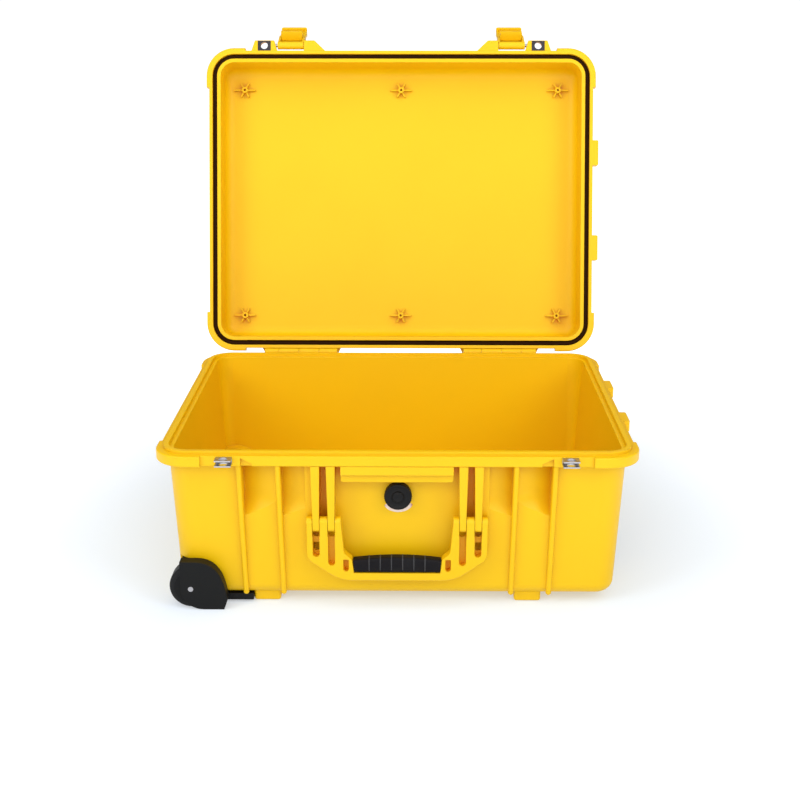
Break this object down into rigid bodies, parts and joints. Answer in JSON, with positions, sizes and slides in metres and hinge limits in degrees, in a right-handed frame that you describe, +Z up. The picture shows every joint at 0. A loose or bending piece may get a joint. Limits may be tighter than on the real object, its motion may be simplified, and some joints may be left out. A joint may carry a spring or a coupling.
{
  "type": "wheeled protective case",
  "caption": "Hard moulded case with a hinged sealed lid, double-throw latches, folding carry handles, purge valve, wheels and a pull handle.",
  "frame": {"origin": "on the floor below the centre of the rim", "axes": "+X towards the end with the pull handle, +Y towards the hinges, +Z up"},
  "size_m": [0.564, 0.6438, 0.6415],
  "materials": {
    "yellow_resin": "satin moulded resin, fine grain",
    "black_resin": "satin moulded resin",
    "seal_rubber": "matte",
    "grip_rubber": "matte",
    "wheel_polyurethane": "matte",
    "stainless_steel": "brushed",
    "aluminium_tube": "satin"
  },
  "bodies": {
    "base": {"base_shell": "yellow_resin", "valve_gasket": "seal_rubber", "valve_body": "black_resin", "valve_nut": "black_resin", "valve_cap": "black_resin", "front_handle_pins": "stainless_steel", "end_handle_pins": "stainless_steel", "pull_cover": "black_resin", "cover_screws": "stainless_steel", "left_hinge_pin": "stainless_steel", "left_base_padlock_plate": "stainless_steel", "right_hinge_pin": "stainless_steel", "right_base_padlock_plate": "stainless_steel", "front_axle": "stainless_steel", "front_wheel_housing": "black_resin", "front_housing_screws": "stainless_steel", "front_pull_sleeve": "aluminium_tube", "rear_axle": "stainless_steel", "rear_wheel_housing": "black_resin", "rear_housing_screws": "stainless_steel", "rear_pull_sleeve": "aluminium_tube"},
    "lid": {"lid_shell": "yellow_resin", "lid_seal": "seal_rubber", "left_latch_pin": "stainless_steel", "left_lid_padlock_plate": "stainless_steel", "right_latch_pin": "stainless_steel", "right_lid_padlock_plate": "stainless_steel"},
    "front_handle": {"front_handle_frame": "yellow_resin", "front_handle_grip": "grip_rubber"},
    "end_handle": {"end_handle_frame": "yellow_resin", "end_handle_grip": "grip_rubber"},
    "pull_handle": {"pull_grip": "black_resin", "front_pull_tube": "aluminium_tube", "rear_pull_tube": "aluminium_tube", "release_spring": "stainless_steel"},
    "release_button": {"release_button": "black_resin"},
    "left_latch": {"left_latch_body": "yellow_resin", "left_lever_pin": "stainless_steel"},
    "left_lever": {"left_latch_lever": "yellow_resin"},
    "right_latch": {"right_latch_body": "yellow_resin", "right_lever_pin": "stainless_steel"},
    "right_lever": {"right_latch_lever": "yellow_resin"},
    "front_wheel": {"front_wheel_tyre": "wheel_polyurethane", "front_wheel_hub": "black_resin", "front_wheel_bearings": "stainless_steel"},
    "rear_wheel": {"rear_wheel_tyre": "wheel_polyurethane", "rear_wheel_hub": "black_resin", "rear_wheel_bearings": "stainless_steel"}
  },
  "joints": [
    {"name": "lid_swing", "type": "hinge", "parent": "base", "child": "lid", "pos_m": [0, 0.2192, 0.1948], "axis": [1, 0, 0], "range_deg": [0, 105.74]},
    {"name": "left_latch_swing", "type": "hinge", "parent": "lid", "child": "left_latch", "pos_m": [-0.159, 0.34451, 0.61839], "axis": [1, 0, 0], "range_deg": [0, 148]},
    {"name": "left_lever_throw", "type": "hinge", "parent": "left_latch", "child": "left_lever", "pos_m": [-0.159, 0.37331, 0.62679], "axis": [-1, 0, 0], "range_deg": [0, 60]},
    {"name": "right_latch_swing", "type": "hinge", "parent": "lid", "child": "right_latch", "pos_m": [0.159, 0.34451, 0.61839], "axis": [1, 0, 0], "range_deg": [0, 148]},
    {"name": "right_lever_throw", "type": "hinge", "parent": "right_latch", "child": "right_lever", "pos_m": [0.159, 0.37331, 0.62679], "axis": [-1, 0, 0], "range_deg": [0, 60]},
    {"name": "front_handle_swing", "type": "hinge", "parent": "base", "child": "front_handle", "pos_m": [0, -0.20725, 0.1105], "axis": [-1, 0, 0], "range_deg": [0, 95]},
    {"name": "end_handle_swing", "type": "hinge", "parent": "base", "child": "end_handle", "pos_m": [0.26975, 0, 0.1105], "axis": [0, -1, 0], "range_deg": [0, 95]},
    {"name": "front_wheel_spin", "type": "hinge", "parent": "base", "child": "front_wheel", "pos_m": [-0.2425, -0.196, 0.0263], "axis": [0, 1, 0], "continuous": true},
    {"name": "rear_wheel_spin", "type": "hinge", "parent": "base", "child": "rear_wheel", "pos_m": [-0.2425, 0.196, 0.0263], "axis": [0, 1, 0], "continuous": true},
    {"name": "pull_handle_slide", "type": "slide", "parent": "base", "child": "pull_handle", "axis": [1, 0, 0], "range_m": [0, 0.33]},
    {"name": "release_button_press", "type": "slide", "parent": "pull_handle", "child": "release_button", "axis": [-1, 0, 0], "range_m": [0, 0.0018], "stiffness_N_per_m": 400, "deforming": ["release_spring"]}
  ]
}
